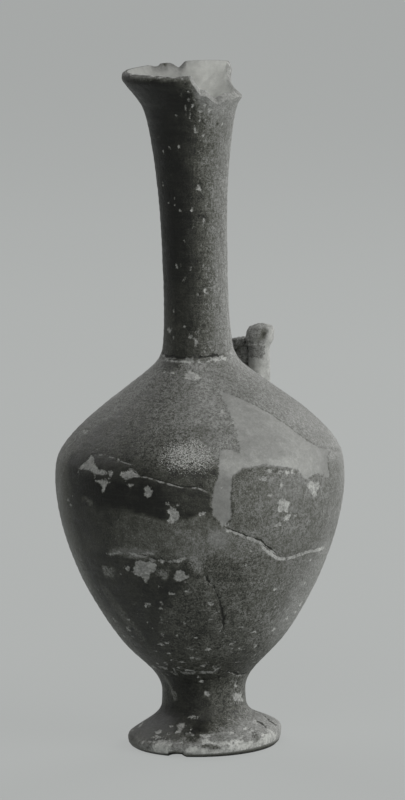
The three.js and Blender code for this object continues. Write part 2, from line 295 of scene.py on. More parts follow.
# Where the slip is worn pale or kept dark: wear from 0 black to 1 pale, softness in millimetres, outline
AREAS = {
    "dark band": (0.06, 0.7, on_jug(
        (72, 452), (90, 456), (120, 462), (135, 474), (150, 479), (180, 487), (212, 494), (212, 512),
        (190, 520), (165, 520.5), (155, 519), (142, 513.5), (130, 511), (118, 508), (92, 505),
        (75, 501), (68, 480),
    )),
    "dark middle": (0, 0.9, on_jug(
        (80, 474), (92, 478), (130, 482), (160, 486), (168, 505), (160, 517), (145, 513), (118, 507),
        (95, 503), (80, 496),
    )),
    "dark below": (0.06, 2.8, (
        on_jug(
            (92, 552), (104, 559), (110, 557.5), (118, 556), (130, 558.5), (136, 562), (158, 564),
            (190, 566),
        )
        + [(-92.5, 70.5), (-105, 61), (-119, 47)]
        + on_jug((150, 645), (120, 625), (100, 595), (84, 560))
    )),
    "haze over blobs": (0.55, 0.6, (
        on_jug((105, 556))
        + [(-132.2, 78.2), (-125.4, 79.3), (-115.7, 79.9), (-109.2, 79.4)]
        + on_jug((156, 556))
        + [(-115.5, 76.8), (-120.4, 76.8), (-123.7, 77.2), (-128.9, 77)]
        + on_jug((108, 557.5))
    )),
    "grey spot left": (0.5, 0.6, on_jug(
        (100, 563), (104, 566), (110, 568), (114, 570), (111, 576), (106, 576.5), (103, 571),
    )),
    "grey spot right": (0.5, 0.6, on_jug(
        (157, 570), (163, 568.5), (170, 570.5), (170, 574.5), (166, 579), (162, 577), (158, 575),
    )),
    "pale patch left": (0.55, 0.6, on_jug(
        (81, 499), (85, 497), (90, 500), (94, 504), (91, 506.5), (86, 503),
    )),
    "haze column": (0.62, 1.5, on_jug(
        (191, 556), (195, 550), (200, 553), (203, 562), (201, 571), (196, 572), (193, 565),
    )),
    "round patch": (0.66, 0.8, on_jug(
        (207, 537), (211, 531), (220, 530), (227, 535), (228, 543), (222, 548), (212, 547), (207, 543),
    )),
    "pale shoulder right": (0.72, 1.6, (
        on_jug((205, 362), (228, 361))
        + [(-12, 140.3), (8, 134), (8, 126.5)]
        + on_jug(
            (318, 418), (330, 432), (322, 428), (300, 412), (275, 396), (250, 384), (238, 376),
            (222, 378), (208, 374),
        )
    )),
    "dark foot left": (0.12, 0.7, on_jug(
        (150, 727), (160, 728), (180, 735), (186, 731), (178, 741), (172, 740), (160, 738), (151, 741),
    )),
    "dark foot front": (0.3, 0.6, on_jug((201, 746), (212, 746), (222, 750), (210, 752), (202, 750))),
    "dark foot right": (0.3, 0.8, on_jug((252, 735), (258, 735), (259, 742), (253, 742))),
    "dark foot spot": (0.3, 0.6, on_jug((243, 743), (247, 743), (247, 748), (243, 747))),
    "pale stem left": (0.55, 0.7, [
        (-146, 25.5), (-142, 26.7), (-139, 24.5), (-131.5, 18.9), (-134, 18.6), (-143, 21.5),
    ]),
    "dark belly left": (0.2, 0.8, [
        (-146, 66), (-140, 62), (-134, 52), (-128, 44), (-131, 43), (-140, 50), (-147, 60),
    ]),
    "dark joint left": (0.12, 0.9, [
        (-152, 142.2), (-118, 142.4), (-112, 140.6), (-130, 140), (-150, 140.4),
    ]),
}

# Where the worn ridge shows a painted highlight, broken into bright specks
RIDGE_GLINT = on_jug(
    (163, 446), (175, 441), (195, 441), (212, 449), (213, 462), (207, 470), (190, 472), (170, 468),
    (163, 458),
)

# Small flakes at pixels of the photograph: x, y, half width and half height in millimetres
SEEN_FLECKS = [
    (169, 148, 0.6, 0.4), (179, 147, 0.5, 0.6), (199, 187, 0.9, 1.3), (193.5, 226, 0.5, 0.5),
    (205.5, 304, 0.5, 0.5), (173, 311, 0.5, 1), (169, 330, 1.3, 0.8), (191, 337, 0.9, 0.8),
    (168, 503, 0.9, 0.6), (178, 506, 0.8, 0.6), (202, 514, 0.9, 0.5), (148, 605, 1.4, 1),
    (185, 624, 0.6, 0.7), (196, 638, 0.6, 0.5), (304, 584, 1, 0.6), (207, 663, 1.2, 0.5),
    (237, 663, 1, 0.6), (192, 672, 1.3, 0.4), (203, 681, 0.8, 0.7), (207, 693, 0.9, 0.8),
]
# Small flakes listed one by one: degrees, height, half width and half height in millimetres
PLACED_FLECKS = [
    (-92, 149, 0.6, 1.2), (-163.5, 118, 2.6, 0.9), (-155.5, 94.5, 0.9, 0.7), (-153.4, 92.6, 1.1, 0.6),
    (-151, 96.5, 0.6, 0.6), (-53.2, 90, 1.4, 1.1), (-57.6, 87.4, 1.6, 1), (-64.2, 104.6, 1.3, 1.1),
    (-56.3, 102, 1.1, 1), (-49, 89.8, 0.9, 0.8), (-123.8, 72.3, 1.3, 1), (-105, 63.6, 0.6, 1),
    (-97, 64.2, 0.9, 0.6), (-110, 59.2, 0.6, 0.9), (-151, 49, 2.6, 0.4), (-76, 31.2, 1, 0.8),
    (-124, 33.4, 0.7, 0.9), (-120, 30.2, 0.6, 1.3), (-42, 23.5, 0.6, 2.6), (-105, 12.6, 1.5, 0.4),
    (-101, 6, 1.6, 0.5), (-131.5, 77, 1.6, 0.5), (-126.5, 78, 2, 0.5), (-120, 77.9, 2.2, 0.5),
    (-113, 78.3, 1.8, 0.45), (-61, 107.3, 1.7, 0.7), (-56.5, 107, 1.9, 0.8), (-51.5, 106.1, 1.6, 0.7),
    (-64.8, 105, 1, 0.8), (-145, 4.2, 1.8, 1.1), (-137, 7.6, 1.4, 1), (-48, 5.6, 1.6, 0.9),
    (-98, 2.6, 2.2, 1), (-114, 246.3, 1.6, 0.7), (-119.5, 246.2, 0.9, 0.6), (-106, 246.6, 1.6, 0.8),
    (-101, 246.4, 1.2, 0.9), (-95.5, 245.4, 1, 0.7), (-127, 246.6, 2.2, 0.6), (-84.5, 237.4, 0.7, 0.5),
    (-73, 235.4, 0.9, 0.8), (-66, 233.6, 0.8, 0.7), (-90.5, 241, 0.6, 0.5), (-78, 233, 0.7, 0.6),
    (-95, 234.5, 0.25, 0.9), (-89.5, 232, 0.3, 1.4), (-84, 227, 0.25, 1), (-92, 237.5, 0.6, 0.9),
    (-77.5, 229.5, 0.3, 0.9), (-71, 227.5, 0.3, 1.6), (-98, 240, 0.5, 0.7), (-87, 235.5, 0.6, 0.8),
    (-112, 154.8, 0.6, 0.5), (-92, 153, 1, 0.4), (-86, 166.5, 0.6, 0.5), (-138, 150.8, 0.6, 0.5),
]
FLECKS = PLACED_FLECKS + [on_jug((x, y))[0] + (wide, tall) for x, y, wide, tall in SEEN_FLECKS]
# Small dark pits, and chips of the foot edge, given as the flecks are
PITS = [(-47, 50.5, 1.0, 0.8), (-52, 228, 0.8, 0.8), (-104, 226, 0.6, 0.6)]
FOOT_CHIPS = [(-64, 3.2, 1.2, 0.8), (-139, 2.2, 1.6, 0.9), (35, 4.4, 3.0, 1.0)]

# Cracks: name, half width, width and strength of the pale edge below, points along it
CRACKS = [
    ("crack_joint", 0.3, 0.5, 0.5, (
        [(-172, 144.5)]
        + on_jug((165, 355.5), (170, 356.5), (180, 357.5), (192, 357))
    )),
    ("crack_gap", 0.34, 0.4, 0.4, [
        (-93, 143.9), (-84, 144.3), (-79, 143.9), (-67, 144.4), (-55, 144.2), (-44, 144.4),
    ]),
    ("crack_right", 0.19, 0.9, 1, (
        [(-81, 88.5)]
        + on_jug((242, 534))
        + [(-64.4, 82), (-60.2, 78.8), (-56, 76.4)]
    )),
    ("crack_pale", 0.06, 1.05, 1, [
        (-65, 81.6), (-60.2, 78), (-54.4, 74.9), (-50, 74.4), (-38.2, 75.4), (-20, 74.8),
    ]),
    ("crack_left", 0.14, 0.5, 0.8, (
        on_jug((130, 467.5), (138, 474.5), (150, 477.5))
        + [(-104, 105)]
        + on_jug((173, 484), (183, 487), (197, 487), (210, 492))
    )),
    ("crack_branch", 0.05, 0.5, 0.8, [(-120.5, 106.6), (-116, 106.9), (-112, 106.9), (-108, 106.1)]),
    ("crack_low", 0.26, 0.2, 0.35, (
        on_jug((202, 570))
        + [(-87.2, 68.2), (-84.6, 66), (-81.9, 61), (-80.2, 57.4), (-79, 53), (-77, 46)]
    )),
    ("crack_band", 0.12, 0.9, 0.5, [(-118, 78.2), (-113, 77.6), (-109, 76.2)]),
    ("joint_body", 0.05, 1.3, 0.9, (
        [(-160, 30.6)]
        + on_jug((160, 667))
        + [(-122.4, 31.6)]
        + on_jug((187, 673), (197, 671.5), (210, 672), (226, 671.5))
    )),
    ("crack_foot", 0.3, 0.5, 0.8, [(-67, 29.8), (-57, 28.8), (-41.5, 26.8), (-25, 26.6)]),
    ("crack_flange", 0.32, 0.2, 0.2, (
        [(22, 11.8), (14, 9.9)]
        + on_jug((262, 716), (270, 725), (280, 735))
    )),
    ("crack_flange_low", 0.34, 0.2, 0.2, [(-22.5, 8.9), (-25.6, 7.2), (-27.8, 5.4)]),
    ("scratch_ridge", 0.02, 0.35, 0.6, [
        (-143, 112.2), (-136, 112.9), (-129, 112.2), (-122, 111), (-117, 110.4),
    ]),
    ("scratch_low", 0.02, 0.3, 0.6, [(-60, 66), (-56, 69), (-52, 73)]),
    ("crack_back", 0.2, 0.6, 0.6, [(150, 92), (133, 86), (118, 89), (100, 80), (84, 82), (66, 71)]),
]


def settle(x, y, z):
    """Drift of the turning, lifted foot edge on the right, lifted lip at the back right."""
    radius = np.hypot(x, y) + 1e-9
    right = ((1 + x / radius) / 2) ** 2
    foot = FOOT_LIFT * smooth(WAIST[0], FOOT_EDGE[0], radius) * right
    lift = np.where((z > 0.01) & (z < WAIST[1]) & (radius > RECESS_RADIUS), foot * smooth(0, 2.5, z), 0)
    share = np.maximum(0, z - LIP_LIFT_START) / (LIP_TOP[1] - LIP_LIFT_START)
    turn = np.arctan2(y, x) - math.radians(LIP_LIFT_ANGLE)
    lift = lift + LIP_LIFT * share * np.maximum(0, np.cos(turn)) ** 2
    return x + drift_at(z), y, z + lift


def rough(points, scale, octaves, seed):
    """Fractal noise about 0 at points in millimetres."""
    shift = Vector((seed * 17.3, seed * 5.1, seed * 9.7))
    return np.array([noise.fractal(Vector(p) * scale + shift, 0.7, 2.1, octaves) for p in points])


# Columns stand closer together on the pictured side, rows follow the profile
COLUMNS, CROWDING, OUTER_ROWS, EDGE_ROWS = 288, 0.35, 292, 5
PRESS_START, NOT_BROKEN, FAR_OFF = 226.0, 999, 30.0
UNDERSIDE = [
    (0.4, RECESS_DEPTH), (3, RECESS_DEPTH), (RECESS_RADIUS, RECESS_DEPTH), (8.5, 10.9), (12, 7.7),
    (15.5, 4.9), (RING_INNER - 2.5, 3.2), (RING_INNER - 1, 1.3), (RING_INNER, 0),
]
RING_ROWS, CHIP_REACH = (24, 25.2, 26), 1.6
turns = np.linspace(0, 1, COLUMNS, endpoint=False)
angles = -90 + 360 * (turns - CROWDING * np.sin(2 * math.pi * turns) / (2 * math.pi))
angles = (angles + 180) % 360 - 180


def outline_at(outline, angle, free):
    """Height of a broken outline by angle, and the free height past its ends."""
    a, h = np.array(outline, float).T
    return np.where((angle < a[0]) | (angle > a[-1]), free, np.interp(angle, a, h))


lip = LIP_TOP[1]
break_height = outline_at(LIP_BREAK, angles, NOT_BROKEN)
break_height = np.minimum(break_height, outline_at(LIP_NOTCH, angles, NOT_BROKEN))
jag = np.array([
    noise.noise(Vector((a * 0.13, 3.1, 0))) + 0.5 * noise.noise(Vector((a * 0.29, 7.7, 0)))
    for a in angles
])
broken = smooth(lip + 0.4, lip - 0.6, break_height)
nibbled = np.array([max(0.0, noise.noise(Vector((a * 0.12, 1.7, 4.0))) - 0.05) for a in angles])
nibbled *= 0.9 * smooth(-180, -172, angles) * (1 - smooth(-100, -94, angles))
edge = np.minimum(lip, break_height + 0.45 * jag * broken) - nibbled * (1 - broken)

outer_rows = np.interp(np.linspace(0, outside_s[-1], OUTER_ROWS), outside_s, outside_z)
inner_rows = np.concatenate([np.linspace(1, 0.82, 12), np.linspace(0.8, 0, 24)])
grid = []
raw = []


def add_row(r, z, bare):
    """One row of the grid: radius, height and how bare the clay is, each for all columns or by column."""
    grid.append((np.broadcast_to(r, COLUMNS), np.broadcast_to(z, COLUMNS)))
    raw.append(np.broadcast_to(bare, COLUMNS))


# Underside: centre of the recess out to the ring, then the standing ring
for r, z in UNDERSIDE:
    add_row(r, z, 0.8)
chip_height = outline_at(FOOT_CHIP, angles, 0.0)
for r in RING_ROWS:
    add_row(r - CHIP_REACH * np.clip(chip_height, 0, 1), chip_height * (r > RING_ROWS[0]), 0.3)
# Outside, its top pressed down to the edge of the lip
press = (edge - PRESS_START) / (lip - PRESS_START)
for z in outer_rows:
    z = np.maximum(z, chip_height)
    z = np.where(z > PRESS_START, PRESS_START + (z - PRESS_START) * press, z)
    add_row(outside_at(z), z, 0.0)
# Edge of the lip, the inside and its floor
outer_edge_r, outer_edge_z = grid[-1]
wall_width = np.where(broken > 0.5, outside_at(edge) - inside_at(edge), outer_edge_r - MOUTH_RADIUS)
lean = np.where((angles > 80) & (angles < 135), NOTCH_LEAN, BREAK_LEAN)
inner_edge_z = np.minimum(lip, edge + lean * wall_width * broken)
inner_edge_r = np.where(broken > 0.5, inside_at(inner_edge_z), MOUTH_RADIUS)
for k in range(1, EDGE_ROWS + 1):
    t = k / (EDGE_ROWS + 1)
    add_row(
        outer_edge_r + (inner_edge_r - outer_edge_r) * t,
        outer_edge_z + (inner_edge_z - outer_edge_z) * t,
        np.where(broken > 0.5, 1.0, 0.05 + 0.05 * k),
    )
for share in inner_rows:
    z = BOWL_START + (inner_edge_z - BOWL_START) * share
    add_row(np.where(share == 1, inner_edge_r, inside_at(z)), z, 0.9)
for r, z in (BOWL_TURN, (FLOOR_RADIUS, FLOOR_HEIGHT), (0.4, FLOOR_HEIGHT)):
    add_row(r, z, 0.9)

ROWS = len(grid)
OUTSIDE_START = len(UNDERSIDE) + len(RING_ROWS)
OUTSIDE_END = OUTSIDE_START + OUTER_ROWS
radius = np.array([g[0] for g in grid]).ravel()
height = np.array([g[1] for g in grid]).ravel()
raw = np.array(raw).ravel()
angle = np.tile(angles, ROWS)
half_turn = np.where(angle > 135, angle - 360, angle)
row = np.repeat(np.arange(ROWS), COLUMNS)
edge_here, broken_here, chip_here = (np.tile(values, ROWS) for values in (edge, broken, chip_height))
is_outside = (row >= OUTSIDE_START) & (row < OUTSIDE_END)
is_break = (row >= OUTSIDE_END) & (row < OUTSIDE_END + EDGE_ROWS) & (broken_here > 0.5)


def laid_out(points):
    """Places of points seen from each place on the surface, in millimetres round and up the profile."""
    a = np.array([p[0] for p in points], float)
    s = length_at(np.array([p[1] for p in points], float))
    gap = (a.mean() - angle[:, None] + 180) % 360 - 180 + (a - a.mean())[None, :]
    return np.radians(gap) * radius[:, None], s[None, :] - length_at(height)[:, None]


def outline_distance(outline):
    """Signed distance in millimetres to an outline laid on the surface, above 0 inside it."""
    px, py = laid_out(outline)
    qx, qy = np.roll(px, -1, 1), np.roll(py, -1, 1)
    ex, ey = qx - px, qy - py
    t = np.clip(-(px * ex + py * ey) / (ex * ex + ey * ey + 1e-9), 0, 1)
    distance = np.hypot(px + t * ex, py + t * ey).min(1)
    with np.errstate(divide="ignore", invalid="ignore"):
        crossing = ((py > 0) != (qy > 0)) & (0 < px - py * ex / np.where(ey == 0, 1e-9, ey))
    return np.where(crossing.sum(1) % 2 == 1, distance, -distance)


def crack_distance(path):
    """Signed distance to a line on the surface, above 0 above it, and the share of its length there."""
    px, py = laid_out(path)
    ax, ay, bx, by = px[:, :-1], py[:, :-1], px[:, 1:], py[:, 1:]
    ex, ey = bx - ax, by - ay
    t = -(ax * ex + ay * ey) / (ex * ex + ey * ey + 1e-9)
    tc = np.clip(t, 0, 1)
    d = np.hypot(ax + tc * ex, ay + tc * ey)
    k = d.argmin(1)
    i = np.arange(len(k))
    side = np.sign(ey[i, k] * ax[i, k] - ex[i, k] * ay[i, k])
    along = (k + tc[i, k]) / (len(path) - 1)
    past = ((k == 0) & (t[i, k] < 0)) | ((k == len(path) - 2) & (t[i, k] > 1))
    return side * d[i, k], along, past


def patch_distance(flecks):
    """Signed distance to the nearest of many small round patches, above 0 inside one."""
    best = np.full(len(angle), -FAR_OFF)
    s = length_at(height)
    for a, h, half_width, half_height in flecks:
        dx = np.radians((angle - a + 180) % 360 - 180) * radius / half_width
        dy = (s - float(length_at(h))) / half_height
        best = np.maximum(best, (1 - np.hypot(dx, dy)) * min(half_width, half_height))
    return best


# More small flecks all round, on the hidden side, the foot, the lower belly and the neck
random = np.random.default_rng(276)
scattered = []


def draw(*spans):
    """One random number from each span, in their order."""
    return [random.uniform(low, high) for low, high in spans]


for _ in range(90):
    a = random.uniform(-180, 180)
    h = random.choice(draw((6, 140), (55, 118), (3, 12)))
    size = random.uniform(0.25, 0.6) * (1.5 if random.uniform() < 0.12 else 1)
    scattered.append((a, h, size * random.uniform(1.0, 1.8), size))
for _ in range(40):
    scattered.append(draw((20, 160), (20, 130), (0.5, 2.2), (0.4, 1.2)))
for _ in range(26):
    scattered.append(draw((-180, 180), (3.0, 9.0), (0.8, 2.2), (0.5, 1.0)))
for _ in range(170):
    size = random.uniform(0.18, 0.42) * (1.9 if random.uniform() < 0.14 else 1)
    a = random.uniform(-165, -15)
    h = random.choice(draw((28, 74), (28, 50), (28, 62), (24, 40)))
    scattered.append((a, h, size * random.uniform(1.0, 2.4), size))
for _ in range(30):
    size = random.uniform(0.16, 0.36)
    a, h = draw((-150, -40), (146, 236))
    scattered.append((a, h, size, size * random.uniform(1.0, 2.2)))

direction_a = np.radians(angle)
plain = np.column_stack([radius * np.cos(direction_a), radius * np.sin(direction_a), height])
ragged = 1.5 * rough(plain, 0.16, 4, 31)
uneven = height + ragged

flake = patch_distance(FLECKS + scattered)
for outline in FLAKES.values():
    flake = np.maximum(flake, outline_distance(outline))
fill = np.maximum(
    outline_distance(SHOULDER_FILL),
    outline_distance(BELLY_STRIP),
)
flake = np.where(is_outside, flake, -FAR_OFF)
fill = np.where(is_outside, fill, -FAR_OFF)
cracks = {}
for name, *_, path in CRACKS:
    d, along, past = crack_distance(path)
    strength = np.where(past, 0.0, np.minimum(1, 12 * np.minimum(along, 1 - along)))
    cracks[name] = (d, np.where(is_outside, strength, 0))


def zone(angle_at, height_at, angle_reach, height_reach):
    """Soft oval area on the surface, 1 at its middle."""
    gap = (angle - angle_at + 180) % 360 - 180
    return np.exp(-((gap / angle_reach) ** 2 + ((height - height_at) / height_reach) ** 2))


def band(low, high, soft, angle_low, angle_high):
    """Area between two heights and two angles, with soft ends round the jug."""
    up = smooth(low - soft, low + soft, uneven) * (1 - smooth(high - soft, high + soft, uneven))
    return up * smooth(angle_low - 6, angle_low, angle) * (1 - smooth(angle_high, angle_high + 6, angle))


def toward(start, end):
    """0 before one angle and 1 past another, on the pictured half."""
    return smooth(start, end, half_turn)


def around(*table):
    """Value by angle round the pictured half, from a few pairs of angle and value."""
    return np.interp(half_turn, [t[0] for t in table], [t[1] for t in table])


def over(below, value, share):
    """What is below, moved to a value by a share from 0 to 1."""
    return below + (value - below) * share


# Wear of the slip by area, 0 kept black, 1 rubbed pale. It also holds painted reflection along the left and
# right outlines, painted light on the right of the neck, and painted light and shade inside the mouth.
hidden = smooth(25, 60, angle) * (1 - smooth(150, 175, angle))
shown = 1 - hidden
# painted reflection: paler along the left outline, where the glossy slip catches light at a grazing angle
left_rim_sheen = (1 - toward(-172, -150)) * shown
# by angle; the high values at the far left and far right are painted reflection along the outlines, the rest
# is wear
low_wear_and_sheen = around(
    (-180, 0.9), (-165, 0.42), (-157, 0.16), (-140, 0.02), (-118, 0.12), (-98, 0.24), (-65, 0.32),
    (-50, 0.44), (-37, 0.6), (-22, 0.95),
)
wear = over(0.13, low_wear_and_sheen, smooth(26, 50, height))
on_shoulder = smooth(109.5, 114, height) * (1 - smooth(141, 144, height))
# by angle; the high value at the far left is painted reflection
shoulder_wear_and_sheen = around(
    (-180, 0.75), (-165, 0.42), (-152, 0.16), (-125, 0.22), (-97, 0.54), (-80, 0.84), (-50, 0.74),
    (5, 0.75),
)
shoulder_wear_and_sheen *= 1 - 0.42 * smooth(126, 110, uneven) * (1 - toward(-112, -92))
shoulder_wear_and_sheen *= 1 + 0.3 * smooth(120, 131, uneven) * (1 - toward(-92, -78))
# painted reflection along the left outline of the shoulder
limb_angle = np.interp(height, [113, 119, 129], [-167, -158, -143])
left_limb_sheen = smooth(5, -4, half_turn - limb_angle - 2 * ragged)
shoulder_wear_and_sheen = np.maximum(shoulder_wear_and_sheen, 0.52 * left_limb_sheen)
wear = over(wear, shoulder_wear_and_sheen, on_shoulder)
on_neck = smooth(142.5, 145, height)
# the slip pales toward the right of the neck, partly from wear and partly as painted light from the right
neck_wear_and_light = around(
    (-180, 0.16), (-166, 0.03), (-130, 0.0), (-102, 0.03), (-92, 0.07), (-80, 0.22), (-70, 0.36),
    (-47, 0.66), (0, 0.85),
)
neck_wear_and_light += 0.07 * smooth(178, 158, height) + 0.05 * smooth(162, 146, height)
wear = over(wear, neck_wear_and_light, on_neck)
left_middle = around((-165, 0.2), (-150, 0.1), (-130, 0.15), (-110, 0.3), (-86, 0.38))
wear = over(wear, left_middle, band(77, 93.5, 1.2, -165, -86))
right_panel = band(76, 107, 2.5, -78, 20)
wear = over(wear, around((-80, 0.46), (-60, 0.54), (-30, 0.6), (0, 0.8)), right_panel)
# painted reflection along the right outline of the body
wear = over(wear, 0.85, toward(-22, 2) * shown * smooth(32, 60, height))
# painted reflection along the left outline of the belly and the ridge
wear = over(wear, 0.85, left_rim_sheen * band(60, 100, 6, -200, 200))
wear = over(wear, 0.7, smooth(-162, -170, half_turn) * shown * band(96, 114, 4, -200, 200))
wear += 0.15 * zone(-50, 99, 14, 6) + 0.2 * zone(-56, 71, 12, 4.5)
wear += 0.3 * zone(-34, 52, 9, 14) + 0.1 * zone(-60, 60, 16, 12) + 0.25 * zone(-158, 42, 14, 8)
stem_wear = around(
    (-165, 0.2), (-142, 0.12), (-120, 0.05), (-98, 0.06), (-74, 0.18), (-52, 0.32), (0, 0.4),
)
wear = over(wear, stem_wear, band(13, 29, 4, -160, 20))
wear = over(wear, 0.04, band(8, 15, 3, -200, -84))
pale_foot = toward(-96, -50) * smooth(13.5, 7, uneven)
pale_foot += smooth(8.0, 4.5, uneven) * toward(-165, -115) * 0.8
wear = over(wear, 0.86, np.clip(pale_foot, 0, 1))
wear = over(wear, 1.0, smooth(5.8, 3.5, uneven) * (0.35 + 0.6 * toward(-165, -125)))
wear = over(wear, 0.8, band(141.0, 143.4, 0.5, -175, 200) * (0.4 + 0.6 * toward(-150, -95)))
wear = over(wear, 0.24, hidden * 0.9)
for share, soft, outline in AREAS.values():
    area = smooth(-soft, soft, outline_distance(outline) + 0.8 * ragged)
    wear = over(wear, share, area)
wear = over(wear, 0.12, band(107.0, 109.2, 1.2, -112, -84))
wear = over(wear, 0.16, zone(-95, 98, 7, 4) * 0.8)
lip_rub = smooth(244.4, 246.2, height + 0.5 * ragged) * toward(-156, -140)
wear = over(wear, 0.62, lip_rub * on_neck * shown)
near_break = smooth(8.5, 0.5, edge_here - uneven) * toward(-104, -76) * smooth(224, 232, height)
wear = over(wear, 0.9, near_break * shown)
# Inside by angle: pale bare clay, its tone also painted light and shade: brightest across the wall seen
# through the break, darker at the back of the mouth
mouth = np.interp(
    angle,
    [-180, -150, 20, 70, 88, 98, 120, 140, 180],
    [0.3, 1.0, 1.0, 0.85, 0.45, 0.25, 0.25, 0.35, 0.3],
)
wear = np.where(is_outside, wear, np.where(height > 60, mouth, 0.6))
fill_tone = 0.5 + 0.5 * band(105.5, 111.2, 1.0, -78, -46) - 0.28 * toward(-42, -30)
fill_tone -= 0.5 * (1 - toward(-78, -70)) * smooth(112, 104, uneven)
wear = np.clip(over(wear, fill_tone, smooth(-0.5, 0.5, fill)), 0, 1)
ridge_glint = smooth(-4.0, 4.5, outline_distance(RIDGE_GLINT) + ragged)

# How coarse the grain of the slip shows: smooth where it is black and thick
coarse = 1.0 - 0.5 * band(77, 93.5, 2, -165, -80) - 0.15 * on_neck + 0.15 * on_shoulder
coarse -= 0.3 * on_neck * (1 - toward(-104, -84))
coarse -= 0.15 * right_panel + 0.5 * band(93.5, 108, 2, -165, -90)
crazed = 0.6 * on_neck * toward(-120, -95) * shown * smooth(232, 215, height)

# Bare clay beside the broken edge of the lip, fading down the outside, and on the front of the foot
beside = smooth(6, 0.2, edge_here - height) * broken_here * toward(-93, -78) * (1 - smooth(60, 80, angle))
foot_front = smooth(4.9, 3.4, uneven) * smooth(0.6, 1.4, height)
foot_front *= toward(-116, -100) * (1 - toward(-25, -5))
foot_front = np.maximum(foot_front, 1.1 * zone(-124, 2.8, 7, 2.2))
raw = np.where(is_outside, np.maximum(raw, np.maximum(0.55 * beside, 0.52 * foot_front)), raw)

# Dark places: painted shadow where the foot stands and painted shade in its chip, the dark pits, and one
# dark spot of the far lip
painted_foot_shadow_and_pits = 1.2 * smooth(1.0, 0.45, height - chip_here) * (radius > 25.0) * (height < 3)
chip_shade = (chip_here > 0.1) * (radius > RING_INNER + 0.1) * (height < chip_here + 0.3)
painted_foot_shadow_and_pits = np.maximum(painted_foot_shadow_and_pits, 1.4 * chip_shade)
painted_foot_shadow_and_pits = np.maximum(painted_foot_shadow_and_pits, smooth(-0.1, 0.5, patch_distance(PITS)) * is_outside)
lip_spot = zone(113.6, 246.6, 3.0, 1.6) * (row > OUTSIDE_END - 12)

# Relief in millimetres
relief = 0.16 * rough(plain, 0.035, 3, 1) + 0.06 * rough(plain, 0.35, 3, 2)
rings = np.sin(length_at(height) * 2 * math.pi / TURNING_STEP + 1.5 * rough(plain, 0.02, 2, 5))
relief += 0.035 * rings * smooth(18, 30, height)
relief -= 0.22 * smooth(-0.35, 0.45, flake)
relief -= (0.12 + 0.05 * rough(plain, 0.5, 3, 8)) * smooth(-0.5, 0.6, fill)
for name, half_width, *_ in CRACKS:
    d, strength = cracks[name]
    relief -= 0.3 * strength * np.exp(-((d / (half_width + 0.45)) ** 2))
relief = np.where(is_outside, relief - 0.15, 0)
relief *= smooth(0.0, 2.5, height) * np.where(height > 240, 0.6, 1)
chip = 1.6 * patch_distance(FOOT_CHIPS)
relief -= np.where(is_outside & (height < 6), np.clip(chip, 0, 1.1), 0)
relief += np.where(is_break, 0.4 * rough(plain, 0.3, 2, 4), 0)

# Points moved by the relief, straight out of the profile, then settled and kept within the frame
along_r = np.gradient(radius.reshape(ROWS, COLUMNS), axis=0).ravel()
along_z = np.gradient(height.reshape(ROWS, COLUMNS), axis=0).ravel()
reach = np.hypot(along_r, along_z) + 1e-9
radius = radius + relief * along_z / reach
height = height - relief * along_r / reach
x, y, z = settle(radius * np.cos(direction_a), radius * np.sin(direction_a), height)
x = np.clip(x, frame_low.x / MM, frame_high.x / MM)
y = np.clip(y, frame_low.y / MM, frame_high.y / MM)
z = np.clip(z, 0.0, frame_high.z / MM)
places = np.column_stack([x, y, z]) * MM


def mesh_from_grid(name, places, rows, columns, close_first):
    """Strip of quads round an axis, its last row drawn to a point, and its first where asked."""
    faces = []
    for i in range(rows - 1):
        for j in range(columns):
            k = (j + 1) % columns
            faces.append((i * columns + j, i * columns + k, (i + 1) * columns + k, (i + 1) * columns + j))
    points = [tuple(p) for p in places]
    if close_first:
        points.append(tuple(places[:columns].mean(0)))
        faces += [(len(points) - 1, (j + 1) % columns, j) for j in range(columns)]
    points.append(tuple(places[-columns:].mean(0)))
    base = (rows - 1) * columns
    faces += [(len(points) - 1, base + j, base + (j + 1) % columns) for j in range(columns)]
    mesh = bpy.data.meshes.new(name)
    mesh.from_pydata(points, [], faces)
    mesh.polygons.foreach_set("use_smooth", [True] * len(mesh.polygons))
    mesh.update()
    thing = bpy.data.objects.new(name, mesh)
    bpy.context.scene.collection.objects.link(thing)
    return thing


def add_number(thing, name, values, filler=0.0):
    """A named number on each point, with the filler on the points that close the ends."""
    values = np.concatenate([values, np.full(len(thing.data.vertices) - len(values), filler)])
    attribute = thing.data.attributes.new(name, "FLOAT", "POINT")
    attribute.data.foreach_set("value", values.astype(np.float32))


body = mesh_from_grid("jug_body", places, ROWS, COLUMNS, True)
core = np.where(is_break | is_outside, np.where(height < 8, 0.35, 1.0), 0.0)
# painted shade: the first inside row along a break is toned down where it turns up toward the light
core = np.where(row == OUTSIDE_END + EDGE_ROWS, 0.8 * broken_here, core)
for name, values, filler in (
    ("flake", flake, -FAR_OFF), ("fill", fill, -FAR_OFF), ("wear", wear, 0), ("raw", raw, 0.9),
    ("core", core, 0), ("coarse", coarse, 1), ("ridge_glint", ridge_glint, 0), ("crazed", crazed, 0),
    ("spot", np.maximum(lip_spot, painted_foot_shadow_and_pits), 0),
):
    add_number(body, name, values, filler)
for name, (d, strength) in cracks.items():
    add_number(body, name, d, FAR_OFF)
    add_number(body, name + "_on", strength)

# Handle root: two rolls, the near one with a worn knob
ROLL_ROWS, ROLL_COLUMNS = 84, 56


def seen(u, v):
    """How far right and how far front a place across a roll lies, as the photograph looks at it."""
    a = math.radians(HANDLE_ANGLE)
    return u * math.sin(a) + v * math.cos(a), u * math.cos(a) - v * math.sin(a)


